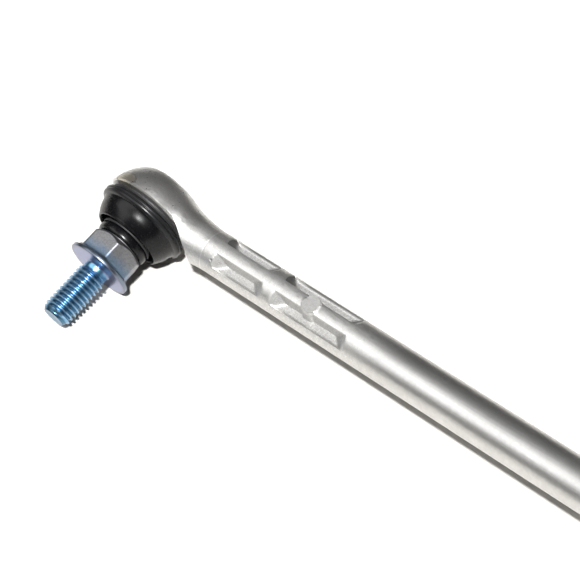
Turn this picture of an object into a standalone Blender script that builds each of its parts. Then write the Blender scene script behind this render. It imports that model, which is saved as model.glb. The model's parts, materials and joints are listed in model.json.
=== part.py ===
"""Stabiliser link: a forged aluminium rod with a ball joint at each end, both studs on the same side.

Run with: blender --background --python part.py

The frame: +X runs along the rod from joint 1 to joint 2, both studs point to -Y, and +Z is up.
The origin is the centre of the whole link's bounding box. Each ball joint is made once, around its
own ball centre with its stud along local +Z, and is then placed at both ends. In a profile, each
point is (radius, height along that joint's stud axis).
"""
import math

import bmesh
import bpy
from mathutils import Matrix

MM = 0.001
COLLECTION = "stabiliser_link"

# Overall
BALL_SPACING = 300.0 * MM
CLEARANCE = 0.3 * MM

# Rod
ROD_RADIUS = 6.75 * MM
NECK_START = 8.2 * MM
NECK_END = 27.4 * MM
NECK_FLARE = 3.7 * MM
NECK_CURVE = 1.75
POCKET_FLOOR = 2.4 * MM
POCKET_SPANS = ((32.6 * MM, 50.9 * MM), (56.3 * MM, 83.4 * MM))
RIB_HALF_WIDTH = 3.2 * MM
RIB_DRAFT = math.radians(20)
POCKET_RIM = 0.85 * MM
POCKET_RIM_RISE = 0.5 * MM
POCKET_RIM_SLOPE = 0.7
POCKET_END_RUN = 4.0 * MM
POCKET_END_SLOPE = 1.15
POCKET_FILLET = 0.7 * MM
BOSS_AT = 68.6 * MM
BOSS_RADIUS = 3.0 * MM
BOSS_DRAFT = math.radians(6)
BOSS_PROUD = 0.1 * MM

# Ball, bearing shell and housing
BALL_RADIUS = 7.5 * MM
TILT_LIMIT = math.radians(25)
SEAT_OPENING = math.radians(60)
SEAT_WALL = 2.3 * MM
SEAT_FLOOR = 1.0 * MM
BACK_WALL = 1.5 * MM
HEAD_WALL = 5.35 * MM
HEAD_ARC_OFFSET = 2.6 * MM
BACK_CORNER = 1.2 * MM
MOUTH_HEIGHT = 1.3 * MM
MOUTH_CHAMFER = 0.5 * MM
BOOT_SWING_GAP = 0.6 * MM
SPIGOT_WALL = 1.7 * MM
RETAINER_HEIGHT = 1.0 * MM
ROLLED_EDGE_HEIGHT = 0.5 * MM
ROLLED_EDGE_WIDTH = 0.8 * MM

# Boot and its rings
BEAD_WALL = 0.7 * MM
CLAMP_HEIGHT = 1.0 * MM
CLAMP_WIDTH = 0.9 * MM
LIP_PROUD = 1.25 * MM
LIP_HEIGHT = 2.9 * MM
BARREL_HEIGHT = 6.0 * MM
BOOT_WALL = 1.2 * MM
RIM_DROP = 2.65 * MM
RIM_WIDTH = 1.1 * MM
RECESS_DEPTH = 3.3 * MM
SLEEVE_WALL = 1.7 * MM
SLEEVE_GROOVE = 0.6 * MM
NECK_RING_DROP = 0.5 * MM
NECK_RING_HEIGHT = 1.0 * MM
NECK_RING_WIDTH = 0.9 * MM

# Stud
NECK_RADIUS = 4.3 * MM
JOURNAL_RADIUS = 6.9 * MM
JOURNAL_LENGTH = 4.1 * MM
JOURNAL_TAPER = 2.2 * MM
HEX_AT = 15.6 * MM
HEX_LENGTH = 8.7 * MM
HEX_ACROSS_FLATS = 17.0 * MM
HEX_CHAMFER = 1.2 * MM
FLANGE_RADIUS = 10.95 * MM
FLANGE_THICKNESS = 1.3 * MM
FLANGE_EDGE = 0.2 * MM
THREAD_RADIUS = 4.93 * MM
THREAD_PITCH = 1.5 * MM
STUD_REACH = 20.4 * MM
RELIEF_LENGTH = 2.3 * MM
RELIEF_RADIUS = 4.15 * MM
POINT_RADIUS = 3.65 * MM
POINT_LENGTH = 1.9 * MM

# Fineness of the round surfaces
HEAD_STEPS = 44
ROD_STEPS = 34
RING_STEPS = 28
THREAD_STEPS = 16

# Sizes that follow from the ones above
seat_inner = BALL_RADIUS + CLEARANCE
seat_outer = seat_inner + SEAT_WALL
seat_bottom = -(seat_inner + SEAT_FLOOR)
seat_top = seat_inner * math.cos(SEAT_OPENING)
bore_radius = seat_outer + CLEARANCE
bore_bottom = seat_bottom - CLEARANCE
head_radius = bore_radius + HEAD_WALL
head_back = bore_bottom - BACK_WALL
retainer_bottom = seat_top + CLEARANCE
retainer_top = retainer_bottom + RETAINER_HEIGHT
rolled_edge_bottom = retainer_top + CLEARANCE
spigot_top = rolled_edge_bottom + ROLLED_EDGE_HEIGHT
spigot_radius = bore_radius + SPIGOT_WALL
bead_inner = spigot_radius + CLEARANCE
bead_outer = bead_inner + BEAD_WALL
bead_bottom = MOUTH_HEIGHT + CLEARANCE
clamp_bottom = bead_bottom + CLEARANCE
clamp_top = clamp_bottom + CLAMP_HEIGHT
clamp_inner = bead_outer + CLEARANCE
clamp_outer = clamp_inner + CLAMP_WIDTH
lip_bottom = clamp_top + CLEARANCE
lip_top = lip_bottom + LIP_HEIGHT
lip_radius = clamp_outer + LIP_PROUD
rim_top = lip_top + BARREL_HEIGHT
rim_outer = clamp_outer - RIM_DROP
recess_outer = rim_outer - RIM_WIDTH
recess_bottom = rim_top - RECESS_DEPTH
journal_bore = JOURNAL_RADIUS + CLEARANCE
sleeve_outer = journal_bore + SLEEVE_WALL
sleeve_top = HEX_AT - CLEARANCE
sleeve_groove = sleeve_outer - SLEEVE_GROOVE
neck_ring_bottom = rim_top - NECK_RING_DROP
neck_ring_top = neck_ring_bottom + NECK_RING_HEIGHT
hex_top = HEX_AT + HEX_LENGTH
flange_bottom = hex_top - FLANGE_EDGE
flange_top = flange_bottom + FLANGE_THICKNESS
stud_tip = flange_top + STUD_REACH
stud_axis_y = (stud_tip + head_back) / 2


def principled(name, colour, roughness, metallic):
    """A material with one Principled BSDF."""
    material = bpy.data.materials.new(name)
    material.use_nodes = True
    shader = material.node_tree.nodes["Principled BSDF"]
    shader.inputs["Base Color"].default_value = (*colour, 1.0)
    shader.inputs["Roughness"].default_value = roughness
    shader.inputs["Metallic"].default_value = metallic
    return material


def clear_scene():
    """Remove every object, and return the collections for the parts and for the cutters."""
    for obj in list(bpy.data.objects):
        bpy.data.objects.remove(obj, do_unlink=True)
    parts = bpy.data.collections.new(COLLECTION)
    cutters = bpy.data.collections.new("cutters")
    for collection in (parts, cutters):
        bpy.context.scene.collection.children.link(collection)
    return parts, cutters


def helper(name, mesh, cutters):
    """A cutter or other helper object, left out of renders."""
    obj = bpy.data.objects.new(name, mesh)
    cutters.objects.link(obj)
    obj.hide_render = True
    obj.display_type = "WIRE"
    return obj


def turned(name, profile, steps, cutters, closed=False):
    """Turn a profile of (radius, height) points about local Z with a Screw modifier.

    An open profile starts and ends on the axis. The points are put in the order that makes the faces
    look outwards.
    """
    ring = list(profile) if closed else list(profile) + [(0.0, profile[0][1])]
    area = sum(a[0] * b[1] - b[0] * a[1] for a, b in zip(ring, ring[1:] + ring[:1]))
    points = list(profile) if area < 0 else list(reversed(profile))
    edges = [(i, i + 1) for i in range(len(points) - 1)]
    if closed:
        edges.append((len(points) - 1, 0))
    mesh = bpy.data.meshes.new(name)
    mesh.from_pydata([(radius, 0.0, height) for radius, height in points], edges, [])
    obj = helper(name, mesh, cutters)
    screw = obj.modifiers.new("turn", "SCREW")
    screw.axis = "Z"
    screw.steps = steps
    screw.render_steps = steps
    screw.use_merge_vertices = True
    screw.merge_threshold = 0.00001
    return obj


def boolean(obj, other, operation):
    """Add a Boolean modifier, with the exact solver."""
    modifier = obj.modifiers.new(f"{operation.lower()} {other.name}", "BOOLEAN")
    modifier.operation = operation
    modifier.object = other


def baked(obj, spent=()):
    """The object's evaluated mesh, smooth with sharp edges kept.

    The object and the spent helpers are removed.
    """
    bpy.context.view_layer.update()
    graph = bpy.context.evaluated_depsgraph_get()
    mesh = bpy.data.meshes.new_from_object(obj.evaluated_get(graph))
    mesh.name = obj.name
    mesh.shade_smooth()
    mesh.set_sharp_from_angle(angle=math.radians(35))
    for used in (obj, *spent):
        bpy.data.objects.remove(used, do_unlink=True)
    return mesh


def arc(centre, radius, start, end, count):
    """Points on a circle in the profile plane, from one angle to another, both ends included."""
    step = (end - start) / (count - 1)
    angles = [start + step * i for i in range(count)]
    return [(centre[0] + radius * math.cos(a), centre[1] + radius * math.sin(a)) for a in angles]


def head_profile():
    """The housing: a part sphere with a nearly flat back, a machined mouth face, a spigot and a bore.

    The bore holds the bearing shell and the retaining ring, and the spigot's edge is rolled over the ring.
    """
    start = math.asin((head_back + BACK_CORNER - HEAD_ARC_OFFSET) / head_radius)
    end = math.asin((MOUTH_HEIGHT - MOUTH_CHAMFER - HEAD_ARC_OFFSET) / head_radius)
    side = arc((0.0, HEAD_ARC_OFFSET), head_radius, start, end, 11)
    edge = side[0][0]
    return [
        (0.0, head_back),
        (edge - 3.5 * BACK_CORNER, head_back),
        (edge - 1.4 * BACK_CORNER, head_back + 0.2 * BACK_CORNER),
        (edge - 0.6 * BACK_CORNER, head_back + 0.55 * BACK_CORNER),
        *side,
        (side[-1][0] - MOUTH_CHAMFER, MOUTH_HEIGHT),
        (spigot_radius, MOUTH_HEIGHT),
        (spigot_radius, spigot_top),
        (bore_radius - ROLLED_EDGE_WIDTH, spigot_top),
        (bore_radius - ROLLED_EDGE_WIDTH, rolled_edge_bottom),
        (bore_radius, rolled_edge_bottom),
        (bore_radius, bore_bottom + SEAT_WALL),
        (bore_radius - SEAT_WALL, bore_bottom),
        (0.0, bore_bottom),
    ]


def rod_profile():
    """Half of the rod, from its end inside the housing to mid-length: a flared neck, then plain."""
    count = 9
    points = [(0.0, -NECK_START)]
    for i in range(count):
        share = i / (count - 1)
        flare = NECK_FLARE * (1.0 - share) ** NECK_CURVE
        points.append((ROD_RADIUS + flare, -(NECK_START + (NECK_END - NECK_START) * share)))
    return points


def rod(cutters):
    """The rod with both necks, as one turned solid along X."""
    half = [(radius, height + BALL_SPACING / 2) for radius, height in rod_profile()]
    profile = half + [(radius, -height) for radius, height in reversed(half)]
    obj = turned("link_body", profile, ROD_STEPS, cutters)
    obj.rotation_euler = (0.0, math.radians(90), 0.0)
    obj.location = (0.0, stud_axis_y, 0.0)
    return obj


def pocket_cutter(start, end):
    """One tapered pocket cutter, as (vertices, faces), towards +Z and +Y, with the floor as its first face.

    The end walls are turned 45 degrees in plan, so the floor is longest at its outer edge.
    """
    top = ROD_RADIUS + CLEARANCE
    rise = top - POCKET_FLOOR
    rim = math.sqrt(ROD_RADIUS ** 2 - (POCKET_FLOOR + POCKET_RIM_RISE) ** 2)
    floor_outer = rim - POCKET_RIM / 2
    top_inner = RIB_HALF_WIDTH - rise * math.tan(RIB_DRAFT)
    top_outer = floor_outer + rise * POCKET_RIM_SLOPE
    corners = []
    for lift, inner, outer in ((0.0, RIB_HALF_WIDTH, floor_outer), (rise, top_inner, top_outer)):
        height = POCKET_FLOOR + lift
        for side in (inner, outer):
            run = POCKET_END_RUN - (side - RIB_HALF_WIDTH) - lift * POCKET_END_SLOPE
            corners.append((start + run, side, height))
            corners.append((end - run, side, height))
    faces = ((0, 1, 3, 2), (4, 6, 7, 5), (0, 4, 5, 1), (2, 3, 7, 6), (0, 2, 6, 4), (1, 5, 7, 3))
    return corners, faces


def pocket_cutters(name, span, cutters):
    """The eight cutters of one pocket position: both ends, both sides of the rib, and both faces."""
    work = bmesh.new()
    corners, faces = pocket_cutter(*span)
    for end in (-1, 1):
        for side in (-1, 1):
            for face in (-1, 1):
                verts = []
                for x, y, z in corners:
                    along = end * (BALL_SPACING / 2 - x)
                    verts.append(work.verts.new((along, side * y, face * z)))
                made = [work.faces.new([verts[i] for i in ring]) for ring in faces]
                foot = set(made[0].edges)
                foot |= {edge for edge in made[4].edges if edge in made[2].edges}
                foot |= {edge for edge in made[5].edges if edge in made[2].edges}
                bmesh.ops.bevel(
                    work, geom=list(foot), offset=POCKET_FILLET, segments=2, profile=0.5,
                    affect="EDGES",
                )
    bmesh.ops.recalc_face_normals(work, faces=work.faces)
    mesh = bpy.data.meshes.new(name)
    work.to_mesh(mesh)
    work.free()
    obj = helper(name, mesh, cutters)
    obj.location = (0.0, stud_axis_y, 0.0)
    return obj


def cone(name, low, high, bottom, top, steps, cutters):
    """A closed cone frustum along local Z, as a primitive."""
    work = bmesh.new()
    bmesh.ops.create_cone(
        work, cap_ends=True, segments=steps, radius1=low, radius2=high, depth=top - bottom,
        matrix=Matrix.Translation((0.0, 0.0, (top + bottom) / 2)),
    )
    mesh = bpy.data.meshes.new(name)
    work.to_mesh(mesh)
    work.free()
    return helper(name, mesh, cutters)


def stud_matrix(end):
    """Places a joint's local frame at one end, with local +Z along the stud, to -Y."""
    centre = Matrix.Translation((end * BALL_SPACING / 2, stud_axis_y, 0.0))
    return centre @ Matrix.Rotation(math.radians(90), 4, "X")


def boss(end, cutters):
    """The tapered round boss between the two pockets' inner ends, on the rod's upper face."""
    top = ROD_RADIUS + BOSS_PROUD
    foot = BOSS_RADIUS + top * math.tan(BOSS_DRAFT)
    obj = cone(f"boss {end}", foot, BOSS_RADIUS, 0.0, top, RING_STEPS, cutters)
    obj.location = (end * (BALL_SPACING / 2 - BOSS_AT), stud_axis_y, 0.0)
    return obj


def boot_swing(end, cutters):
    """The cone that the boot's side needs clear of the neck, cut at 45 degrees from the mouth face."""
    reach = 2.0 * head_radius
    low = head_radius + BOOT_SWING_GAP
    high = low + reach - MOUTH_HEIGHT
    return cone(f"boot swing {end}", low, high, MOUTH_HEIGHT, reach, HEAD_STEPS, cutters)


def neck_root(end, cutters):
    """The cylinder that ends the neck inside the housing's wall, clear of the bore."""
    radius = bore_radius + HEAD_WALL / 5
    bottom = bore_bottom - BACK_WALL / 3
    return cone(f"neck root {end}", radius, radius, bottom, 2.0 * head_radius, HEAD_STEPS, cutters)


def link_body(cutters):
    """The one-piece forging: rod, pockets, bosses and the two bored housings."""
    body = rod(cutters)
    spent = []
    for number, span in enumerate(POCKET_SPANS):
        spent.append(pocket_cutters(f"pockets {number}", span, cutters))
        boolean(body, spent[-1], "DIFFERENCE")
    for end in (-1, 1):
        spent.append(boss(end, cutters))
        boolean(body, spent[-1], "UNION")
    for end in (-1, 1):
        tools = (
            (boot_swing(end, cutters), "DIFFERENCE"),
            (neck_root(end, cutters), "DIFFERENCE"),
            (turned(f"housing {end}", head_profile(), HEAD_STEPS, cutters), "UNION"),
        )
        for tool, operation in tools:
            tool.matrix_world = stud_matrix(end)
            boolean(body, tool, operation)
            spent.append(tool)
    bpy.context.view_layer.update()
    turn = body.matrix_world.copy()
    mesh = baked(body, spent)
    mesh.transform(turn)
    return mesh


def seat_profile():
    """The bearing shell: a cup around the ball, chamfered at its foot, open at the front."""
    bottom_angle = math.radians(-90)
    top_angle = math.radians(90) - SEAT_OPENING
    inside = arc((0.0, 0.0), seat_inner, top_angle, bottom_angle, 11)
    return [
        (0.0, seat_bottom),
        (seat_outer - SEAT_WALL, seat_bottom),
        (seat_outer, seat_bottom + SEAT_WALL),
        (seat_outer, seat_top),
        *inside[:-1],
        (0.0, inside[-1][1]),
    ]


def retainer_profile():
    """The closing ring over the bearing shell, open enough for the stud's neck at full tilt."""
    reach = retainer_top * math.tan(TILT_LIMIT) + NECK_RADIUS / math.cos(TILT_LIMIT)
    inner = reach + CLEARANCE
    return [
        (inner, retainer_bottom),
        (seat_outer, retainer_bottom),
        (seat_outer, retainer_top),
        (inner + 0.3 * MM, retainer_top),
    ]


def boot_outside():
    """The boot's outer side: bead, lip, barrel, rim, recess, and the sleeve with its ring groove."""
    middle = (lip_bottom + lip_top) / 2
    barrel = clamp_outer - 0.2 * MM
    return [
        (bead_outer, bead_bottom),
        (bead_outer, lip_bottom),
        (lip_radius - 0.5 * MM, lip_bottom + 0.2 * MM),
        (lip_radius, middle),
        (lip_radius - 0.5 * MM, lip_top - 0.3 * MM),
        (barrel, lip_top + 0.5 * MM),
        (barrel - 0.75 * MM, lip_top + 2.9 * MM),
        (rim_outer + 0.55 * MM, rim_top - 1.0 * MM),
        (rim_outer, rim_top - 0.25 * MM),
        (rim_outer - 0.55 * MM, rim_top),
        (recess_outer, rim_top - 0.5 * MM),
        (recess_outer - 0.1 * MM, recess_bottom + 0.5 * MM),
        (recess_outer - 0.5 * MM, recess_bottom),
        (sleeve_outer, recess_bottom),
        (sleeve_outer, neck_ring_bottom - CLEARANCE),
        (sleeve_groove, neck_ring_bottom - CLEARANCE),
        (sleeve_groove, neck_ring_top + CLEARANCE),
        (sleeve_outer, neck_ring_top + CLEARANCE),
        (sleeve_outer, sleeve_top - 0.3 * MM),
        (sleeve_outer - 0.3 * MM, sleeve_top),
    ]


def boot_inside():
    """The boot's inner side, from the sleeve's top down to the bead."""
    under = recess_bottom - BOOT_WALL
    barrel = clamp_outer - 0.1 * MM - BOOT_WALL
    return [
        (journal_bore, sleeve_top),
        (journal_bore, under + 0.5 * MM),
        (journal_bore + 0.5 * MM, under),
        (recess_outer, under),
        (recess_outer + 1.1 * MM, under + 0.9 * MM),
        (recess_outer + 1.0 * MM, rim_top - 1.5 * MM),
        (rim_outer + 0.25 * MM, rim_top - 1.7 * MM),
        (barrel - 0.55 * MM, lip_top + 2.4 * MM),
        (barrel, lip_top + 0.6 * MM),
        (bead_inner, lip_top + 0.1 * MM),
        (bead_inner, bead_bottom),
    ]


def clamp_ring_profile():
    """The flat clamp ring that presses the boot's bead onto the spigot."""
    return [
        (clamp_inner, clamp_bottom),
        (clamp_outer, clamp_bottom),
        (clamp_outer, clamp_top),
        (clamp_inner, clamp_top),
    ]


def neck_ring_profile():
    """The spring ring that presses the boot's sleeve onto the stud."""
    across = NECK_RING_WIDTH / 2
    along = NECK_RING_HEIGHT / 2
    radius = sleeve_groove + CLEARANCE + across
    height = neck_ring_bottom + along
    angles = [math.radians(60 * i) for i in range(6)]
    return [(radius + across * math.cos(a), height + along * math.sin(a)) for a in angles]


def stud_core_profile():
    """The turned stud without its hexagon and thread: ball, neck, journal, flange and thread relief."""
    neck_angle = math.acos(NECK_RADIUS / BALL_RADIUS)
    ball = arc((0.0, 0.0), BALL_RADIUS, math.radians(-72), neck_angle, 12)
    journal_bottom = HEX_AT - JOURNAL_LENGTH
    core = HEX_ACROSS_FLATS / 2 - 0.6 * MM
    return [
        (0.0, ball[0][1]),
        *ball,
        (NECK_RADIUS, journal_bottom - JOURNAL_TAPER),
        (JOURNAL_RADIUS, journal_bottom),
        (JOURNAL_RADIUS, HEX_AT - 0.15 * MM),
        (core, HEX_AT + 0.3 * MM),
        (core, flange_bottom),
        (FLANGE_RADIUS - FLANGE_EDGE, flange_bottom),
        (FLANGE_RADIUS, flange_bottom + FLANGE_EDGE),
        (FLANGE_RADIUS, flange_top - FLANGE_EDGE),
        (FLANGE_RADIUS - FLANGE_EDGE, flange_top),
        (RELIEF_RADIUS + 0.7 * MM, flange_top),
        (RELIEF_RADIUS, flange_top + 0.5 * MM),
        (RELIEF_RADIUS, flange_top + RELIEF_LENGTH),
        (RELIEF_RADIUS * 0.6, flange_top + RELIEF_LENGTH + THREAD_PITCH),
        (0.0, flange_top + RELIEF_LENGTH + THREAD_PITCH),
    ]


def hexagon(cutters):
    """The hexagon: a six-sided prism, two corners along the rod, cut by a chamfering envelope."""
    corner = HEX_ACROSS_FLATS / math.sqrt(3)
    prism = cone("hexagon", corner, corner, HEX_AT, hex_top, 6, cutters)
    prism.rotation_euler = (0.0, 0.0, math.radians(30))
    chamfered = HEX_ACROSS_FLATS / 2 - 0.1 * MM
    rise = HEX_CHAMFER * 0.62
    wide = chamfered + 2 * HEX_CHAMFER
    envelope = turned("hexagon envelope", [
        (0.0, HEX_AT - rise),
        (chamfered - HEX_CHAMFER, HEX_AT - rise),
        (wide, HEX_AT + 2 * rise),
        (wide, hex_top - 2 * rise),
        (chamfered - HEX_CHAMFER, hex_top + rise),
        (0.0, hex_top + rise),
    ], RING_STEPS, cutters)
    boolean(prism, envelope, "INTERSECT")
    return prism, envelope


def thread_coil(bottom, turns, cutters):
    """One pitch of the thread's profile, turned and lifted by a Screw, with a cone over each end."""
    root = THREAD_RADIUS - 0.6134 * THREAD_PITCH
    shape = ((root, 0.0), (THREAD_RADIUS, 0.42), (THREAD_RADIUS, 0.58), (root, 1.0))
    points = [(radius, 0.0, bottom + share * THREAD_PITCH) for radius, share in shape]
    mesh = bpy.data.meshes.new("thread coil")
    mesh.from_pydata(points, [(i, i + 1) for i in range(len(points) - 1)], [])
    coil = helper("thread coil", mesh, cutters)
    screw = coil.modifiers.new("turn", "SCREW")
    screw.axis = "Z"
    screw.steps = THREAD_STEPS
    screw.render_steps = THREAD_STEPS
    screw.screw_offset = THREAD_PITCH
    screw.iterations = turns
    screw.use_merge_vertices = True
    screw.merge_threshold = 0.00001
    mesh = baked(coil)
    work = bmesh.new()
    work.from_mesh(mesh)
    bmesh.ops.remove_doubles(work, verts=work.verts, dist=0.00001)
    middle = bottom + turns * THREAD_PITCH / 2
    rims = [edge for edge in work.edges if edge.is_boundary]
    for upper, reach in ((False, -2 * THREAD_PITCH), (True, (turns + 3) * THREAD_PITCH)):
        point = work.verts.new((0.0, 0.0, bottom + reach))
        for edge in rims:
            if (edge.verts[0].co.z > middle) == upper:
                work.faces.new((edge.verts[0], edge.verts[1], point))
    bmesh.ops.recalc_face_normals(work, faces=work.faces)
    work.to_mesh(mesh)
    work.free()
    return helper("thread", mesh, cutters)


def thread(cutters):
    """The external thread: a coil cut to length by a turned envelope, with a run-in and a pointed end."""
    bottom = flange_top + RELIEF_LENGTH - THREAD_PITCH
    turns = math.ceil((stud_tip - bottom) / THREAD_PITCH) + 1
    solid = thread_coil(bottom, turns, cutters)
    wide = THREAD_RADIUS + CLEARANCE
    start = flange_top + RELIEF_LENGTH - CLEARANCE
    narrow = RELIEF_RADIUS - 0.2 * MM
    slope = POINT_LENGTH / (THREAD_RADIUS - POINT_RADIUS)
    envelope = turned("thread envelope", [
        (0.0, start),
        (narrow, start),
        (wide, start + wide - narrow),
        (wide, stud_tip - slope * (wide - POINT_RADIUS)),
        (POINT_RADIUS, stud_tip),
        (0.0, stud_tip),
    ], RING_STEPS, cutters)
    boolean(solid, envelope, "INTERSECT")
    return solid, envelope


def ball_stud(cutters):
    """The steel ball stud, one piece from its ball to its thread."""
    stud = turned("ball_stud", stud_core_profile(), RING_STEPS, cutters)
    prism, prism_envelope = hexagon(cutters)
    solid, solid_envelope = thread(cutters)
    boolean(stud, prism, "UNION")
    boolean(stud, solid, "UNION")
    return baked(stud, (prism, prism_envelope, solid, solid_envelope))


def ring_mesh(name, profile, cutters, closed=True):
    """The mesh of a turned sub-part."""
    return baked(turned(name, profile, RING_STEPS, cutters, closed))


def place(name, mesh, material, parent, parts):
    """A sub-part in the parts collection, with its own material, held by its parent."""
    obj = bpy.data.objects.new(name, mesh)
    parts.objects.link(obj)
    if not mesh.materials:
        mesh.materials.append(material)
    obj.parent = parent


def main():
    parts, cutters = clear_scene()
    aluminium = principled("forged_aluminium", (0.72, 0.72, 0.71), 0.38, 1.0)
    zinc = principled("blue_zinc_plate", (0.55, 0.66, 0.78), 0.3, 1.0)
    rubber = principled("boot_rubber", (0.015, 0.015, 0.017), 0.3, 0.0)
    polymer = principled("bearing_polymer", (0.75, 0.73, 0.66), 0.45, 0.0)
    spring = principled("spring_steel", (0.09, 0.09, 0.1), 0.4, 1.0)
    steel = principled("ring_steel", (0.5, 0.5, 0.5), 0.4, 1.0)

    place("link_body", link_body(cutters), aluminium, None, parts)
    seat = ring_mesh("bearing_shell", seat_profile(), cutters, closed=False)
    retainer = ring_mesh("retaining_ring", retainer_profile(), cutters)
    boot = ring_mesh("dust_boot", boot_outside() + boot_inside(), cutters)
    clamp = ring_mesh("boot_clamp_ring", clamp_ring_profile(), cutters)
    neck_ring = ring_mesh("boot_neck_ring", neck_ring_profile(), cutters)
    pieces = (
        ("ball_stud", ball_stud(cutters), zinc),
        ("bearing_shell", seat, polymer),
        ("retaining_ring", retainer, steel),
        ("dust_boot", boot, rubber),
        ("boot_clamp_ring", clamp, spring),
        ("boot_neck_ring", neck_ring, spring),
    )
    for number, end in ((1, -1), (2, 1)):
        centre = bpy.data.objects.new(f"ball_centre_{number}", None)
        centre.matrix_world = stud_matrix(end)
        parts.objects.link(centre)
        for name, mesh, material in pieces:
            place(f"{name}_{number}", mesh, material, centre, parts)


main()
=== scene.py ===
"""Stabiliser link: a forged aluminium rod with a booted ball joint at each end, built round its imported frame.

Each ball joint has its own local frame: the ball's centre is the origin, local +Z runs out along the stud
and local +X runs along the rod's +X. A height is a distance along that local +Z. A place along the rod is
given as its distance from the nearer ball's centre towards the rod's middle, so both ends share one formula.
"""
import json
import math

import bpy
import numpy as np
from bpy.props import FloatProperty, FloatVectorProperty, PointerProperty
from mathutils import Matrix, Vector

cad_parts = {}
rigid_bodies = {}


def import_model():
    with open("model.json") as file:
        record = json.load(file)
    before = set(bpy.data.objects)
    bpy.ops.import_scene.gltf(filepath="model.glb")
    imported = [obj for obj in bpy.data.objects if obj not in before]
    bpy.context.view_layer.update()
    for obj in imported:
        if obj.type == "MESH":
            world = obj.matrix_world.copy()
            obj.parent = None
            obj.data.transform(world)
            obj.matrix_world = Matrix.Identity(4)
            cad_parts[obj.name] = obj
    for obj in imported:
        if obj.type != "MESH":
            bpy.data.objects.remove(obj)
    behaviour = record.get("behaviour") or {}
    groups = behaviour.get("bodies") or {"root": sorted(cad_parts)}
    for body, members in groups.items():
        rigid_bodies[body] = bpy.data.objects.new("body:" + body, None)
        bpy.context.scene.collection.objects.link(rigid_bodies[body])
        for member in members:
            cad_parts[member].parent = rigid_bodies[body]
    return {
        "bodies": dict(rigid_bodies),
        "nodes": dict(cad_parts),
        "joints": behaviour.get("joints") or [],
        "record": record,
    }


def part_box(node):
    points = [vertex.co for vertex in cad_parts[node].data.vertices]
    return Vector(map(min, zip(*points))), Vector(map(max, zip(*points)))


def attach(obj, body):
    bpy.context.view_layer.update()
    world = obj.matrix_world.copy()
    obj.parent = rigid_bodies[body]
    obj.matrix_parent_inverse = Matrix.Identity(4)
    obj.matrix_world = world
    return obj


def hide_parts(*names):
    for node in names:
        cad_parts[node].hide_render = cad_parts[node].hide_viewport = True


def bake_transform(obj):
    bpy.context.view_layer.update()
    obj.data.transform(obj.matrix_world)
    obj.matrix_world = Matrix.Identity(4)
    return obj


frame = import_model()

bl_info = {
    "name": "Stabiliser Link",
    "version": (1, 0, 0),
    "blender": (4, 5, 0),
    "location": "View3D > Sidebar > Link",
    "description": "Builds a forged stabiliser link with two booted ball joints round its packed frame",
    "category": "Object",
}

MM = 0.001


def clear_startup():
    """Remove every object that isn't part of the frame, such as the startup scene's cube and lamp."""
    kept = set(frame["nodes"].values()) | set(frame["bodies"].values())
    for obj in list(bpy.data.objects):
        if obj not in kept:
            bpy.data.objects.remove(obj, do_unlink=True)


clear_startup()
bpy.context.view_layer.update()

# Places and sizes that come from the frame
places = {joint["name"]: np.array(joint["pos_m"]) for joint in frame["joints"]}
mounts = {mount["name"]: mount for mount in frame["record"]["mounts"]}
BALLS = {1: places["ball_1_tilt"], 2: places["ball_2_tilt"]}
AXIS_Y = float(BALLS[1][1])
HALF = float(BALLS[2][0] - BALLS[1][0]) / 2
TIP = AXIS_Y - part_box("ball_stud_1")[0].y
SEAT = AXIS_Y - mounts["stud_seat_1"]["pos_m"][1]
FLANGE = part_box("ball_stud_1")[1].z
SPIGOT = AXIS_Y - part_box("link_body")[0].y
BACK = AXIS_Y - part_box("link_body")[1].y

# Sizes that shapes and finishes share
ROD_RADIUS = 6.75 * MM
NECK_END = 27.4 * MM
HEXAGON_WIDTH = 17.0 * MM


def length(label, text, size):
    """A length property with its default in metres."""
    return FloatProperty(name=label, description=text, default=size, min=0.0, unit="LENGTH",
                         precision=5)


def angle(label, text, degrees):
    """An angle property with its default in degrees."""
    return FloatProperty(name=label, description=text, default=math.radians(degrees), unit="ROTATION")


def colour(label, text, value):
    """A colour property."""
    return FloatVectorProperty(name=label, description=text, default=value, size=3, min=0.0, max=1.0,
                               subtype="COLOR")


class ForgingSizes(bpy.types.PropertyGroup):
    """Sizes of the one-piece forging."""

    rod_radius: length("Rod radius", "Radius of the plain rod", ROD_RADIUS)
    neck_flare: length("Neck flare", "How much wider the rod is where it meets the housing", 3.7 * MM)
    neck_start: length("Neck start", "Where the flare is widest", 8.2 * MM)
    neck_end: length("Neck end", "Where the flare has run out", NECK_END)
    housing_radius: length("Housing radius", "Radius of the round housing", 15.75 * MM)
    housing_centre: length("Housing centre", "Height of the housing's centre above the ball's", 2.6 * MM)
    housing_blend: length("Housing blend", "Size of the fillet between housing and neck", 2.4 * MM)
    mouth_height: length("Mouth height", "Height of the machined mouth face", 1.3 * MM)
    spigot_radius: length("Spigot radius", "Radius of the collar that the boot grips", 12.1 * MM)
    bore_radius: length("Bore radius", "Radius of the bore for the bearing shell", 10.4 * MM)
    bore_depth: length("Bore depth", "Depth of the bore below the ball's centre", 9.1 * MM)
    pocket_floor: length("Pocket floor", "Height of the pocket floors above the rod's axis", 2.4 * MM)
    rib_width: length("Rib half width", "Half the width of the rib at its foot", 2.65 * MM)
    rib_draft: angle("Rib draft", "Lean of the rib's walls", 7.5)
    pocket_outer: length("Pocket outer side", "Where the floor meets the outer lip", 5.2 * MM)
    boss_radius: length("Boss radius", "Radius of the round boss", 3.0 * MM)
    boss_at: length("Boss place", "Distance of the boss from the ball's centre", 68.6 * MM)


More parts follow.
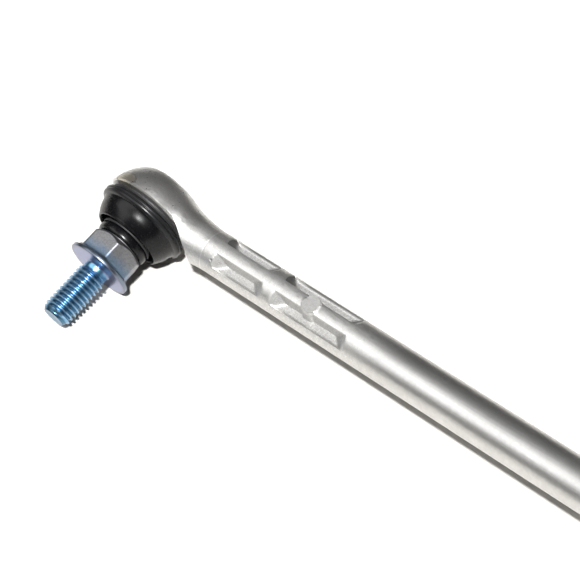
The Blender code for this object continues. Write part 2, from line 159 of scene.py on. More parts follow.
class StudSizes(bpy.types.PropertyGroup):
    """Sizes of the ball stud."""

    ball_radius: length("Ball radius", "Radius of the ball", 7.5 * MM)
    neck_radius: length("Neck radius", "Radius of the neck above the ball", 4.3 * MM)
    journal_radius: length("Journal radius", "Radius of the part that the boot's sleeve runs on", 6.9 * MM)
    hex_at: length("Hexagon height", "Height at which the hexagon starts", 15.6 * MM)
    across_flats: length("Across flats", "Width of the hexagon across its flats", HEXAGON_WIDTH)
    flange_thickness: length("Flange thickness", "Thickness of the flange", 1.3 * MM)
    relief_radius: length("Relief radius", "Radius of the plain neck under the thread", 4.15 * MM)
    relief_length: length("Relief length", "Length of the plain neck under the thread", 2.3 * MM)
    thread_radius: length("Thread radius", "Outer radius of the thread", 4.93 * MM)
    pitch: length("Thread pitch", "Rise of the thread in one turn", 1.5 * MM)
    point_radius: length("Point radius", "Radius of the end face", 3.65 * MM)


class FinishColours(bpy.types.PropertyGroup):
    """Colours of the finishes."""

    aluminium: colour("Aluminium", "Shot-blasted forging", (0.66, 0.655, 0.64))
    zinc: colour("Zinc", "Hexagon of the zinc-plated stud", (0.40, 0.40, 0.415))
    zinc_blue: colour("Blue zinc", "Thread of the zinc-plated stud", (0.16, 0.38, 0.60))
    rubber: colour("Rubber", "Dust boots", (0.002, 0.002, 0.0025))
    acetal: colour("Acetal", "Bearing shells", (0.75, 0.73, 0.66))
    steel: colour("Steel", "Retaining rings", (0.50, 0.50, 0.49))
    spring: colour("Spring steel", "Black-coated boot rings", (0.014, 0.014, 0.015))


class StageSettings(bpy.types.PropertyGroup):
    """Camera, lights and floor."""

    azimuth: angle("Azimuth", "Camera's bearing round the link", 59.84)
    elevation: angle("Elevation", "Camera's height above the horizon", 56.16)
    roll: angle("Roll", "Camera's turn about its own line of sight", -22.65)
    focal: FloatProperty(name="Focal length", description="Focal length in millimetres", default=105.8)
    distance: length("Distance", "From the camera to the point that it looks at", 534 * MM)
    key_strength: FloatProperty(name="Key", description="Strength of the main light", default=7.0)
    key_softness: angle("Key softness", "How wide the main light looks from the link", 3.5)
    fill_power: FloatProperty(name="Fill power", description="Power of the softbox", default=3.0,
                              unit="POWER")
    horizon: FloatProperty(name="Horizon", description="Strength of the light from low down",
                           default=0.06)
    zenith: FloatProperty(name="Zenith", description="Strength of the light from above", default=0.07)
    floor_colour: colour("Floor", "Colour of the table", (0.58, 0.565, 0.54))


# Meshes from grids of points

SHARP_EDGE = 32     # degrees past which an edge stays sharp
CORNER_CUT = 0.22   # share of a side that a rounded corner takes at each of its ends


def smooth_min(a, b, size):
    """The smaller of two fields, rounded over a band of the given size: b + (a - b) h - size h (1 - h)."""
    share = np.clip(0.5 + 0.5 * (b - a) / size, 0.0, 1.0)
    return b + (a - b) * share - size * share * (1.0 - share)


def smooth_max(a, b, size):
    """The larger of two fields, rounded over a band of the given size."""
    return -smooth_min(-a, -b, size)


def joined(*spans):
    """One rising list of numbers from (start, end, count) spans that meet end to end."""
    runs = [np.linspace(start, end, count, endpoint=False) for start, end, count in spans]
    return np.concatenate(runs + [[spans[-1][1]]])


def grid_faces(rows, columns, ring):
    """Quads of a grid whose columns wrap round, and whose rows do too if it is a ring."""
    first = np.arange(rows if ring else rows - 1)[:, None]
    left = np.arange(columns)[None, :]
    right = (left + 1) % columns
    after = (first + 1) % rows
    corners = [first * columns + left, first * columns + right,
               after * columns + right, after * columns + left]
    return np.stack([np.broadcast_to(corner, (len(first), columns)) for corner in corners], -1).reshape(-1, 4)


def skin(name, points, ring=False, sharp=SHARP_EDGE):
    """An object from points[row, column], whose columns wrap round.

    In a ring the rows wrap too. Otherwise a pole closes each end. Faces are turned so that they enclose a
    positive volume, the sum of the triple products of their corners.
    """
    rows, columns = points.shape[:2]
    corner_places = points.reshape(-1, 3)
    quads = grid_faces(rows, columns, ring)
    fans = np.zeros((0, 3), int)
    if not ring:
        around = np.arange(columns)
        beside = (around + 1) % columns
        start, end = len(corner_places), len(corner_places) + 1
        last = (rows - 1) * columns
        fans = np.concatenate([
            np.stack([np.full(columns, start), beside, around], -1),
            np.stack([np.full(columns, end), last + around, last + beside], -1),
        ])
        corner_places = np.concatenate([corner_places, [points[0].mean(0)], [points[-1].mean(0)]])
    corners = np.concatenate([quads[:, :3], quads[:, [0, 2, 3]], fans])
    if np.linalg.det(corner_places[corners]).sum() < 0:
        quads, fans = quads[:, ::-1], fans[:, ::-1]
    mesh = bpy.data.meshes.new(name)
    mesh.from_pydata(corner_places, [], quads.tolist() + fans.tolist())
    obj = bpy.data.objects.new(name, mesh)
    bpy.context.scene.collection.objects.link(obj)
    soften(mesh, sharp)
    return obj


def soften(mesh, degrees=SHARP_EDGE):
    """Smooth shading that keeps edges sharper than the given angle."""
    mesh.shade_smooth()
    mesh.set_sharp_from_angle(angle=math.radians(degrees))


def on_joint(points, end):
    """Points moved from a joint's local frame to its place: (x, y, z) goes to the centre + (x, -z, y)."""
    return np.stack([points[..., 0], -points[..., 2], points[..., 1]], -1) + BALLS[end]


def turned(profile, columns):
    """Points of a profile of (radius, height) carried round local Z: (r cos t, r sin t, h)."""
    profile = np.array(profile)
    turn = np.linspace(0.0, 2 * math.pi, columns, endpoint=False)
    radius, height = profile[:, :1], profile[:, 1:]
    return np.stack([radius * np.cos(turn), radius * np.sin(turn), height + 0.0 * turn], -1)


def rounded(profile, times=2):
    """A closed profile whose corners are cut off the given times: each side keeps its middle part."""
    points = np.array(profile)
    for _ in range(times):
        after = np.roll(points, -1, axis=0)
        near, far = 1.0 - CORNER_CUT, CORNER_CUT
        points = np.stack([near * points + far * after, far * points + near * after], 1).reshape(-1, 2)
    return points


def cut(obj, tool):
    """Take the tool's solid out of the object for good."""
    modifier = obj.modifiers.new("cut", "BOOLEAN")
    modifier.object = tool
    modifier.operation = "DIFFERENCE"
    graph = bpy.context.evaluated_depsgraph_get()
    mesh = bpy.data.meshes.new_from_object(obj.evaluated_get(graph))
    obj.modifiers.clear()
    spare = obj.data
    obj.data = mesh
    bpy.data.meshes.remove(spare)
    bpy.data.objects.remove(tool, do_unlink=True)
    soften(mesh)


def finish_piece(obj, material, slot, body, *nodes):
    """Give a new piece its material and body, and hide the frame nodes that it stands for. The slot argument is
    not used.
    """
    obj.data.materials.clear()
    obj.data.materials.append(material)
    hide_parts(*nodes)
    if body:
        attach(obj, body)


# Shader maths

class Value:
    """A shader socket that takes part in Python sums."""

    def __init__(self, finish, socket):
        self.finish = finish
        self.socket = socket

    def math(self, operation, *others):
        """This value and the others through one Math node."""
        inputs = dict(enumerate((self, *others)))
        return self.finish.node("ShaderNodeMath", {"operation": operation}, inputs)

    def __add__(self, other):
        return self.math("ADD", other)

    __radd__ = __add__

    def __mul__(self, other):
        return self.math("MULTIPLY", other)

    __rmul__ = __mul__

    def __sub__(self, other):
        return self.math("SUBTRACT", other)

    def __rsub__(self, other):
        return self * -1.0 + other


class Finish:
    """A node material under construction."""

    def __init__(self, name, **constants):
        self.material = bpy.data.materials.new(name)
        self.material.use_nodes = True
        self.tree = self.material.node_tree
        self.shader = self.tree.nodes["Principled BSDF"]
        for socket, value in constants.items():
            self.shader.inputs[socket.replace("_", " ")].default_value = value
        self.place = self.node("ShaderNodeTexCoord", {}, {}, "Object")

    def node(self, kind, settings, inputs, output=0):
        """One of a new node's outputs. Its settings come first, then the values or links of its sockets."""
        made = self.tree.nodes.new(kind)
        for key, value in settings.items():
            setattr(made, key, value)
        for key, value in inputs.items():
            if isinstance(value, Value):
                self.tree.links.new(value.socket, made.inputs[key])
            else:
                made.inputs[key].default_value = value
        return Value(self, made.outputs[output])

    def axes(self):
        """The three Object coordinates."""
        return [self.node("ShaderNodeSeparateXYZ", {}, {"Vector": self.place}, axis) for axis in "XYZ"]

    def noise(self, size, detail=2.0, stretch=(1.0, 1.0, 1.0)):
        """Cloudy noise from 0 to 1, with features of the given size in metres."""
        where = self.node("ShaderNodeMapping", {}, {"Vector": self.place, "Scale": stretch})
        return self.node("ShaderNodeTexNoise", {},
                         {"Vector": where, "Scale": 1.0 / size, "Detail": detail})

    def grains(self, size):
        """A different number from 0 to 1 in each small cell."""
        cells = self.node("ShaderNodeTexVoronoi", {}, {"Vector": self.place, "Scale": 1.0 / size},
                          "Color")
        return self.node("ShaderNodeSeparateXYZ", {}, {"Vector": cells}, "X")

    def step(self, value, start, end, low=0.0, high=1.0):
        """A smooth step from low at start to high at end."""
        return self.node("ShaderNodeMapRange", {"interpolation_type": "SMOOTHSTEP"},
                         {"Value": value, "From Min": start, "From Max": end,
                          "To Min": low, "To Max": high})

    def mix(self, share, first, second):
        """The first colour at share 0 and the second at share 1."""
        first, second = [(*c, 1.0) if isinstance(c, (tuple, list)) else c for c in (first, second)]
        return self.node("ShaderNodeMix", {"data_type": "RGBA"}, {0: share, 6: first, 7: second}, 2)

    def link(self, socket, value):
        """Feed one of the shader's sockets."""
        self.tree.links.new(value.socket, self.shader.inputs[socket])

    def bump(self, depth, height, below=None):
        """A bump of the given depth in metres, laid over another one."""
        inputs = {"Distance": depth, "Height": height}
        if below:
            inputs["Normal"] = below
        return self.node("ShaderNodeBump", {}, inputs)


def shade(value, factor):
    """A colour made lighter or darker by a factor."""
    return tuple(min(1.0, channel * factor) for channel in value)


PIT_AT = 31.5 * MM                  # distance from the ball's centre
PIT_BEARING = math.radians(48.0)    # round the rod, from the stud side
PIT_RADIUS = 0.55 * MM
PATCH_TONE = (0.60, 0.56, 0.47)


def small_pit(finish, from_ball, height, z):
    """1 at the middle of a small pit in the rod's surface, 0 outside its radius."""
    along = from_ball - PIT_AT
    across = height - ROD_RADIUS * math.cos(PIT_BEARING)
    up = z - ROD_RADIUS * math.sin(PIT_BEARING)
    gap = (along * along + across * across + up * up).math("SQRT")
    return finish.step(gap, 0.5 * PIT_RADIUS, PIT_RADIUS, 1.0, 0.0)


def oval_patch(finish, from_ball, height, z):
    """The oval patch on the housing's upper side and its rim, each from 0 to 1.

    The oval's own two axes lean in the plane of the rod and the studs. Distances along them are counted in
    its half lengths, so that the rim is where their hypotenuse is 1.
    """
    east = (from_ball + 5.8 * MM) * (1 / MM)
    north = (height + 0.1 * MM) * (1 / MM)
    across = 0.196 * east - 0.245 * north
    upward = 0.131 * east + 0.392 * north
    reach = (across * across + upward * upward).math("SQRT")
    facing = finish.step(z, 8 * MM, 10 * MM)
    oval = finish.step(reach, 0.86, 0.98, 1.0, 0.0) * facing
    rim = finish.step((reach - 1.0).math("ABSOLUTE"), 0.02, 0.12, 1.0, 0.0) * facing
    return oval, rim


def aluminium_finish(colours):
    """Forged and shot-blasted aluminium: a sparkling grain, smoother along the plain rod.

    The pockets are darker than the rod. Their walls carry painted shade, darkest on the side away from the
    studs.
    """
    base = tuple(colours.aluminium)
    finish = Finish("forged_aluminium", Metallic=1.0)
    x, y, z = finish.axes()
    height = AXIS_Y - y
    from_ball = HALF - x.math("ABSOLUTE")
    from_axis = (height * height + z * z).math("SQRT")
    on_rod = finish.step(from_ball, 18 * MM, 24 * MM)
    blasted = finish.step(from_ball, 78 * MM, 104 * MM, 1.0, 0.15)
    sunk = finish.step(from_axis, 5.7 * MM, 6.45 * MM, 1.0, 0.0) * on_rod
    grain = finish.noise(0.28 * MM, 3.0)
    peel = finish.noise(1.3 * MM, 3.0)
    cloud = finish.noise(9 * MM, 3.0)
    drawn = finish.noise(0.5 * MM, 2.0, (0.05, 1.0, 1.0))
    sparkle = finish.step(finish.grains(0.26 * MM), 0.72, 0.98)
    mark = finish.step((from_ball - NECK_END).math("ABSOLUTE"), 0.10 * MM, 0.32 * MM, 1.0, 0.0)
    oval, rim = oval_patch(finish, from_ball, height, z)
    pit = small_pit(finish, from_ball, height, z)
    tone = finish.mix(cloud, shade(base, 0.86), shade(base, 1.08))
    tone = finish.mix(sparkle * blasted * 0.7, tone, shade(base, 1.3))
    tone = finish.mix(sunk * finish.step(grain, 0.35, 0.65), tone, shade(base, 0.62))
    tone = finish.mix(finish.step(peel, 0.3, 0.75) * 0.35, tone, shade(base, 0.72))
    tone = finish.mix(mark * 0.5, tone, shade(base, 1.3))
    tone = finish.mix(pit * 0.8, tone, shade(base, 0.3))
    tone = finish.mix(oval * 0.8, tone, PATCH_TONE)
    tone = finish.mix(rim * 0.6, tone, shade(base, 0.45))
    # Painted shade: the pocket walls are darkened, most on the side away from the studs.
    below_skin = finish.step(from_axis, 6.40 * MM, 6.62 * MM, 1.0, 0.0) * on_rod
    pocket_wall_shade = finish.step(z.math("ABSOLUTE"), 2.45 * MM, 3.1 * MM) * below_skin
    away_side_shade_strength = finish.step(height, -2.6 * MM, -1.8 * MM, 0.8, 0.15)
    tone = finish.mix(pocket_wall_shade * away_side_shade_strength, tone, shade(base, 0.22))
    finish.link("Base Color", tone)
    rough = 0.40 + 0.06 * blasted * on_rod + 0.08 * peel + 0.06 * sunk - 0.16 * sparkle * blasted
    finish.link("Roughness", rough - 0.05 * finish.step(from_ball, 85 * MM, 110 * MM))
    fine = finish.bump(0.045 * MM, grain * blasted + 0.4 * drawn)
    coarse = finish.bump(0.05 * MM, peel * blasted, fine)
    finish.link("Normal", finish.bump(0.06 * MM, 1.0 - 0.5 * mark - 2.0 * pit - 1.5 * oval, coarse))
    return finish.material


STEEL_BLUE = (0.18, 0.34, 0.54)
INDIGO = (0.17, 0.24, 0.42)
LILAC = (0.28, 0.23, 0.42)
EDGE_GREY = (0.16, 0.17, 0.19)
# Colour of the painted highlight on the thread's crests
CREST_HIGHLIGHT_BLUE = (0.50, 0.66, 0.80)
DULL_GREY = (0.20, 0.20, 0.22)


def zinc_finish(colours):
    """Blue-passivated zinc plate: blue on the thread with a painted crest highlight and painted root shade,
    greyer on the hexagon.

    The flange has a lilac drift. Cloudy dull spots lie over the whole.
    """
    finish = Finish("blue_zinc_plate", Metallic=1.0)
    x, y, z = finish.axes()
    height = AXIS_Y - y
    from_ball = HALF - x.math("ABSOLUTE")
    radius = (from_ball * from_ball + z * z).math("SQRT")
    drift = finish.noise(3.2 * MM, 2.0)
    film = finish.noise(1.1 * MM, 3.0)
    grain = finish.noise(0.16 * MM, 2.0)
    grey = tuple(colours.zinc)
    blue = tuple(colours.zinc_blue)
    low = finish.step(height + 3 * MM * drift, SEAT - 5 * MM, SEAT - 1.0 * MM)
    tint = finish.mix(low * 0.7, grey, STEEL_BLUE)
    flange = finish.step(height, SEAT - 0.3 * MM, SEAT - 0.1 * MM)
    lilac = finish.mix(finish.step(film, 0.3, 0.7), INDIGO, LILAC)
    tint = finish.mix(flange * 0.8, tint, lilac)
    tint = finish.mix(finish.step(radius, 9.4 * MM, 10.4 * MM, 0.0, 0.6), tint, EDGE_GREY)
    tint = finish.mix(finish.step(height, SEAT, SEAT + 0.8 * MM), tint, blue)
    # Painted highlight along the thread's crests, and painted shade in its roots.
    ridge = (finish.step(radius, 4.0 * MM, 4.85 * MM)
             * finish.step(height, SEAT + 0.5 * MM, SEAT + 1.5 * MM))
    root = (finish.step(radius, 3.9 * MM, 4.6 * MM, 1.0, 0.0)
            * finish.step(height, SEAT + 2 * MM, SEAT + 3 * MM))
    tint = finish.mix(ridge * 0.45, tint, CREST_HIGHLIGHT_BLUE)
    tint = finish.mix(root * 0.75, tint, shade(blue, 0.18))
    deep = finish.step(drift, 0.25, 0.75) * finish.step(height, SEAT, SEAT + 2 * MM) * 0.5
    tint = finish.mix(deep, tint, shade(blue, 0.72))
    dull = (finish.step(finish.noise(0.6 * MM, 4.0), 0.35, 0.7)
            * finish.step(height, SEAT, SEAT + MM, 0.5, 0.1))
    finish.link("Base Color", finish.mix(dull, tint, DULL_GREY))
    on_hexagon = finish.step(height, SEAT - 1.4 * MM, SEAT - 0.6 * MM, 0.12, 0.0)
    finish.link("Roughness", 0.28 + on_hexagon + 0.06 * film)
    finish.link("Normal", finish.bump(0.002 * MM, grain, finish.bump(0.006 * MM, film)))
    return finish.material


# Grey of the dust, also used for the painted reflection on the lip
DUST_AND_SHEEN_TONE = (0.09, 0.09, 0.095)


def rubber_finish(colours):
    """Black moulded rubber: glossy skin, fine dust, and a greyer lip that is a painted reflection."""
    base = tuple(colours.rubber)
    finish = Finish("boot_rubber", Specular_IOR_Level=0.27)
    height = AXIS_Y - finish.axes()[1]
    dust = finish.step(finish.noise(0.7 * MM, 4.0), 0.55, 0.8)
    leather = finish.noise(0.25 * MM, 2.0)
    # Painted reflection: the lip is made greyer, as if it mirrored the pale floor.
    lip = finish.step(height, 5.2 * MM, 6.4 * MM, 1.0, 0.0)
    finish.link("Base Color", finish.mix(dust * 0.04 + lip * 0.08, base, DUST_AND_SHEEN_TONE))
    finish.link("Roughness", 0.265 + 0.05 * dust + 0.06 * lip)
    waves = finish.bump(0.012 * MM, finish.noise(2.5 * MM))
    finish.link("Normal", finish.bump(0.006 * MM, leather, waves))
    return finish.material


def plain_finish(name, base, metallic, rough, grain_size, grain_depth):
    """A simple even finish with some grain and a slight change of tone."""
    finish = Finish(name, Metallic=metallic)
    cloud = finish.noise(4 * MM, 3.0)
    grain = finish.noise(grain_size, 2.0)
    finish.link("Base Color", finish.mix(cloud, shade(base, 0.8), shade(base, 1.15)))
    finish.link("Roughness", rough + 0.14 * grain)
    finish.link("Normal", finish.bump(grain_depth, grain))
    return finish.material


# The forging

POCKETS = ((32.6 * MM, 50.9 * MM), (56.3 * MM, 83.4 * MM))  # start and end of each, from the ball's centre
END_RUN = 4.0 * MM              # how far a pocket's slanted end runs, seen from above
END_LEAN = 1.15                 # how far a pocket's end wall runs for each unit that it rises
WALL_FILLET = 0.35 * MM
LIP_FILLET = 0.3 * MM
POCKET_EDGE = 0.25 * MM
NECK_POWER = 1.75
BACK_CORNER = 1.8 * MM
SEAM_HEIGHT = 0.09 * MM
SEAM_WIDTH = 0.5 * MM
BOSS_PROUD = 0.1 * MM
BOSS_DRAFT = math.radians(6)
BOSS_FILLET = 0.15 * MM
LONGEST_RAY = 24 * MM
RAY_HALVINGS = 26               # halve the longest ray this often to find where it leaves the blank
MOUTH_CHAMFER = 0.55 * MM
MOUTH_CORNER = 0.25 * MM
ROLLED_EDGE_WIDTH = 0.8 * MM
ROLLED_EDGE_HEIGHT = 0.5 * MM
BORE_CORNER = 2.3 * MM
MOUTH_COLUMNS = 128


def blank_field(sizes, along, height, z):
    """Negative inside the forging before its pockets and mouth are cut, positive outside.

    It is the smooth union of a round housing and a flared rod, cut smoothly by the flat back. The rod's
    radius grows towards the housing as a power of the distance left. A low seam runs round it where the
    dies met.
    """
    left = np.clip((sizes.neck_end - along) / (sizes.neck_end - sizes.neck_start), 0.0, 1.0)
    radius = sizes.rod_radius + sizes.neck_flare * left ** NECK_POWER
    rod = np.maximum(np.hypot(height, z) - radius, 0.5 * sizes.neck_start - along)
    from_centre = np.sqrt(along ** 2 + (height - sizes.housing_centre) ** 2 + z ** 2)
    housing = from_centre - sizes.housing_radius
    blank = smooth_max(smooth_min(housing, rod, sizes.housing_blend), BACK - height, BACK_CORNER)
    return blank - SEAM_HEIGHT * np.exp(-(z / SEAM_WIDTH) ** 2)


def pocket_height(sizes, along, across):
    """Height of the pockets' surface above the rod's axis, by place along the rod and across it.

    Each pocket is the highest of five planes: floor, rib wall, outer lip and two slanted ends. Between the
    two pockets, the lower surface counts.
    """
    floor = sizes.pocket_floor
    rib = floor + (sizes.rib_width - across) / math.tan(sizes.rib_draft)
    lip = floor + (across - sizes.pocket_outer)
    lowest = None
    for start, end in POCKETS:
        slant = END_RUN - (across - sizes.rib_width)
        near_end = floor + (start + slant - along) / END_LEAN
        far_end = floor + (along - end + slant) / END_LEAN
        surface = smooth_max(smooth_max(floor + 0.0 * along, rib, WALL_FILLET), lip, LIP_FILLET)
        surface = smooth_max(smooth_max(surface, near_end, WALL_FILLET), far_end, WALL_FILLET)
        lowest = surface if lowest is None else np.minimum(lowest, surface)
    return lowest


def forging_half(sizes):
    """Points of one end, each (along, height, z), from the housing's far side to the rod's middle.

    Each point is where a ray leaves the blank. Rays start on the rod's axis and fan out round the ball's
    centre beyond it. The pockets then lower z, and the boss raises it, straight along Z as forging dies do.
    """
    quarter = joined((0, 20, 8), (20, 32, 8), (32, 56, 8), (56, 82, 18), (82, 90, 3))
    upper = np.concatenate([quarter, 180 - quarter[-2::-1]])
    bearing = np.radians(np.concatenate([upper[:-1], 180 + upper[:-1]]))
    fan = np.radians(joined((88, 0, 18))[:-1])
    rest = joined((0, 16 * MM, 26), (16 * MM, 28 * MM, 16), (28 * MM, 88 * MM, 180),
                  (88 * MM, HALF, 9))
    start = np.concatenate([0 * fan, rest])[:, None]
    lean = np.concatenate([fan, 0 * rest])[:, None]
    steps = [-np.sin(lean) + 0 * bearing,
             np.cos(lean) * np.cos(bearing), np.cos(lean) * np.sin(bearing)]
    low = np.zeros((len(start), len(bearing)))
    high = low + LONGEST_RAY
    for _ in range(RAY_HALVINGS):
        middle = (low + high) / 2
        along, height, z = start + steps[0] * middle, steps[1] * middle, steps[2] * middle
        outside = blank_field(sizes, along, height, z) > 0
        high = np.where(outside, middle, high)
        low = np.where(outside, low, middle)
    along, height, z = start + steps[0] * high, steps[1] * high, steps[2] * high
    across, side = np.abs(height), np.sign(z)
    deep = np.abs(z)
    carved = smooth_min(deep, pocket_height(sizes, along, across), POCKET_EDGE)
    in_reach = (along > POCKETS[0][0] - END_RUN) & (along < POCKETS[1][1] + END_RUN)
    deep = np.where(in_reach, carved, deep)
    top = sizes.rod_radius + BOSS_PROUD
    from_boss = np.hypot(along - sizes.boss_at, height)
    boss = top - np.maximum(from_boss - sizes.boss_radius, 0.0) / math.tan(BOSS_DRAFT)
    raised = smooth_max(deep, boss, BOSS_FILLET)
    deep = np.where((side > 0) & (from_boss < 2 * sizes.boss_radius), raised, deep)
    return np.stack([along, height, side * deep], -1)


def forging_points(sizes):
    """Both ends of the forging as one grid: the second end is the first one mirrored in x."""
    half = forging_half(sizes)
    first = np.stack([half[..., 0] - HALF, AXIS_Y - half[..., 1], half[..., 2]], -1)
    second = first[-2::-1] * np.array([-1.0, 1.0, 1.0])
    return np.concatenate([first, second])


def mouth_profile(sizes):
    """What the mouth's machining takes away: all above the mouth face but the spigot, and the bore."""
    mouth, spigot, bore = sizes.mouth_height, sizes.spigot_radius, sizes.bore_radius
    chamfer, corner = MOUTH_CHAMFER, MOUTH_CORNER
    edge = sizes.housing_radius - chamfer
    far = 3.0 * sizes.housing_radius
    rolled = bore - ROLLED_EDGE_WIDTH
    ledge = SPIGOT - ROLLED_EDGE_HEIGHT
    return [
        (far, far), (far, mouth + far - edge - chamfer), (edge + 2 * chamfer, mouth - chamfer),
        (edge + chamfer, mouth - chamfer), (edge, mouth), (spigot + corner, mouth),
        (spigot, mouth + corner), (spigot, SPIGOT - corner), (spigot - corner, SPIGOT),
        (rolled + corner, SPIGOT), (rolled, SPIGOT - corner), (rolled, ledge), (bore, ledge),
        (bore, BORE_CORNER - sizes.bore_depth), (bore - BORE_CORNER, -sizes.bore_depth),
    ]


class LINK_OT_forging(bpy.types.Operator):
    """Build the one-piece forging: rod, necks, pockets, bosses and the two bored housings"""

    bl_idname = "link.forging"
    bl_label = "Forging"

    def execute(self, context):
        sizes = context.scene.link_forging
        body = skin("forged_link", forging_points(sizes))
        mouth = turned(mouth_profile(sizes), MOUTH_COLUMNS)
        for end in BALLS:
            cut(body, skin(f"mouth_tool_{end}", on_joint(mouth, end)))
        material = aluminium_finish(context.scene.link_colours)
        finish_piece(body, material, "forged_aluminium", "link", "link_body")
        return {"FINISHED"}


# The studs

STUD_SHARP_EDGE = 55            # degrees; the thread's crests and roots stay smooth
BALL_BOTTOM = -72               # bearing in degrees at which the ball's flat bottom starts
JOURNAL_LENGTH = 4.1 * MM
JOURNAL_TAPER = 2.2 * MM
HEX_CORNER = 1.137              # the hexagon's corners are turned off at this share of half its width
HEX_CHAMFER = 1.8 * MM          # height over which the lower chamfer cone cuts the hexagon
CHAMFER_FOOT = 0.45 * MM        # how far inside the flats the lower chamfer starts
HEX_FILLET = 0.6 * MM
FLANGE_RISE = 0.6 * MM          # height of the cone between the hexagon's fillet and the flange's rim
FLANGE_EDGE = 0.3 * MM
RELIEF_FILLET = 0.6 * MM
THREAD_RUN_IN = 0.6 * MM
THREAD_ROWS = 250
THREAD_DEPTH = 0.6134           # depth of the thread's roots, in pitches
CREST_HALF_WIDTH = 0.05         # in pitches
FLANK_WIDTH = 0.4               # in pitches
CREST_CORNER = 0.1 * MM
POINT_LEAN = 0.674              # how fast the point's cone widens with its distance from the tip
POINT_CORNER = 0.25 * MM
TIP_DISH = 0.12 * MM


def stud_points(sizes):
    """The whole stud as one grid of (radius, height) carried round local Z.

    The hexagon's radius is a flat's distance times 1 / cos of the bearing from the flat's middle, held
    under a corner radius and a chamfer cone. The thread's radius falls from its crest by a smooth step of
    the distance from the crest line, which climbs one pitch a turn. Two cones hold it down at its ends.
    """
    bearing = np.radians(np.arange(0, 360, 2))
    flat = sizes.across_flats / 2
    from_flat = bearing % math.radians(60) - math.radians(30)
    hexagon = np.minimum(flat / np.cos(from_flat), HEX_CORNER * flat)
    rows = []

    def row(radius, height):
        """Add one ring of points; each of the two may be one number or an array over the bearings."""
        rows.append(np.stack([radius + 0 * bearing, height + 0 * bearing], -1))

    top = math.degrees(math.acos(sizes.neck_radius / sizes.ball_radius))
    for lean in np.radians(joined((BALL_BOTTOM, top, 20))):
        row(sizes.ball_radius * math.cos(lean), sizes.ball_radius * math.sin(lean))
    journal = sizes.hex_at - JOURNAL_LENGTH
    row(sizes.neck_radius, journal - JOURNAL_TAPER)
    row(sizes.journal_radius, journal)
    row(sizes.journal_radius, sizes.hex_at - 0.1 * MM)
    rim = SEAT - sizes.flange_thickness
    under = rim - FLANGE_RISE
    foot = flat - CHAMFER_FOOT
    chamfered = sizes.hex_at + HEX_CHAMFER
    for height in joined((sizes.hex_at, chamfered, 18), (chamfered, under - HEX_FILLET, 6)):
        row(np.minimum(hexagon, foot + height - sizes.hex_at), height)
    for lean in np.radians((20, 45, 70, 90)):
        row(hexagon + HEX_FILLET * (1 - math.cos(lean)), under - HEX_FILLET * (1 - math.sin(lean)))
    edge = FLANGE_EDGE
    for share in (0.35, 0.7, 1.0):
        row(hexagon + HEX_FILLET + (FLANGE - edge - hexagon - HEX_FILLET) * share,
            under + (rim - under) * share)
    for lean in np.radians((-60, -30, 0)):
        row(FLANGE - edge * (1 - math.cos(lean)), rim + edge * (1 + math.sin(lean)))
    for lean in np.radians((0, 30, 60, 90)):
        row(FLANGE - edge * (1 - math.cos(lean)), SEAT - edge * (1 - math.sin(lean)))
    for radius in (9.0, 7.0, 5.6):
        row(radius * MM, SEAT)
    fillet = RELIEF_FILLET
    for lean in np.radians((0, 30, 60, 90)):
        row(sizes.relief_radius + fillet * (1 - math.sin(lean)), SEAT + fillet * (1 - math.cos(lean)))
    start = SEAT + sizes.relief_length
    for height in joined((start - THREAD_RUN_IN, TIP, THREAD_ROWS)):
        turn = (height - start) / sizes.pitch - bearing / (2 * math.pi)
        from_crest = np.abs(turn - np.round(turn))
        flank = np.clip((from_crest - CREST_HALF_WIDTH) / FLANK_WIDTH, 0.0, 1.0)
        depth = THREAD_DEPTH * sizes.pitch * flank * flank * (3.0 - 2.0 * flank)
        run_in = sizes.relief_radius + np.maximum(height - start, 0.0)
        point = sizes.point_radius + (TIP - height) * POINT_LEAN
        ridge = smooth_min(sizes.thread_radius - depth, run_in + 0 * bearing, CREST_CORNER)
        row(np.minimum(ridge, point), height)
    row(sizes.point_radius - POINT_CORNER, TIP)
    row(0.5 * sizes.point_radius, TIP - TIP_DISH)
    made = np.array(rows)
    return np.stack([made[..., 0] * np.cos(bearing), made[..., 0] * np.sin(bearing), made[..., 1]], -1)


class LINK_OT_studs(bpy.types.Operator):
    """Build the two ball studs, each with its ball, hexagon, flange and thread"""

    bl_idname = "link.studs"
    bl_label = "Studs"

    def execute(self, context):
        material = zinc_finish(context.scene.link_colours)
        points = stud_points(context.scene.link_stud)
        for end in BALLS:
            stud = skin(f"stud_{end}", on_joint(points, end), sharp=STUD_SHARP_EDGE)
            finish_piece(stud, material, "blue_zinc_steel", f"stud_{end}", f"ball_stud_{end}")
        return {"FINISHED"}


# The boots and their rings

RING_COLUMNS = 120
COILS = 110
COIL_STEPS = 440
COIL_SIDES = 10
COIL_SWELL = 0.1
GARTER_RADIUS = 8.72 * MM
GARTER_HEIGHT = 12.1 * MM
GARTER_THICKNESS = 0.32 * MM


def boot_profile():
    """The boot's section: bead, grooved lip, barrel, rim, recess, and the sleeve with its ring groove."""
    outside = (
        (13.1, 1.6), (13.1, 3.2), (14.9, 3.25), (15.45, 3.5), (15.5, 4.3), (15.15, 4.45), (15.15, 4.7),
        (15.5, 4.85), (15.35, 5.55), (14.9, 5.95), (14.3, 6.1), (14.05, 6.6), (13.75, 7.4), (13.3, 8.9),
        (12.75, 10.0), (12.1, 11.1), (11.75, 11.6), (11.55, 12.0), (11.2, 12.12), (10.9, 11.95),
        (10.6, 11.5), (10.45, 9.4), (10.0, 8.8), (8.9, 8.8), (8.9, 11.6), (8.4, 11.65), (8.4, 12.55),
        (8.9, 12.6), (8.98, 13.4), (8.95, 14.6), (8.6, 15.28),
    )
    inside = (
        (7.2, 15.3), (7.2, 8.1), (7.7, 7.6), (10.55, 7.6), (11.65, 8.5), (11.55, 10.5),
        (11.9, 10.4), (12.45, 8.5), (13.0, 6.7), (12.4, 6.2), (12.4, 1.6),
    )
    return np.array(outside + inside) * MM


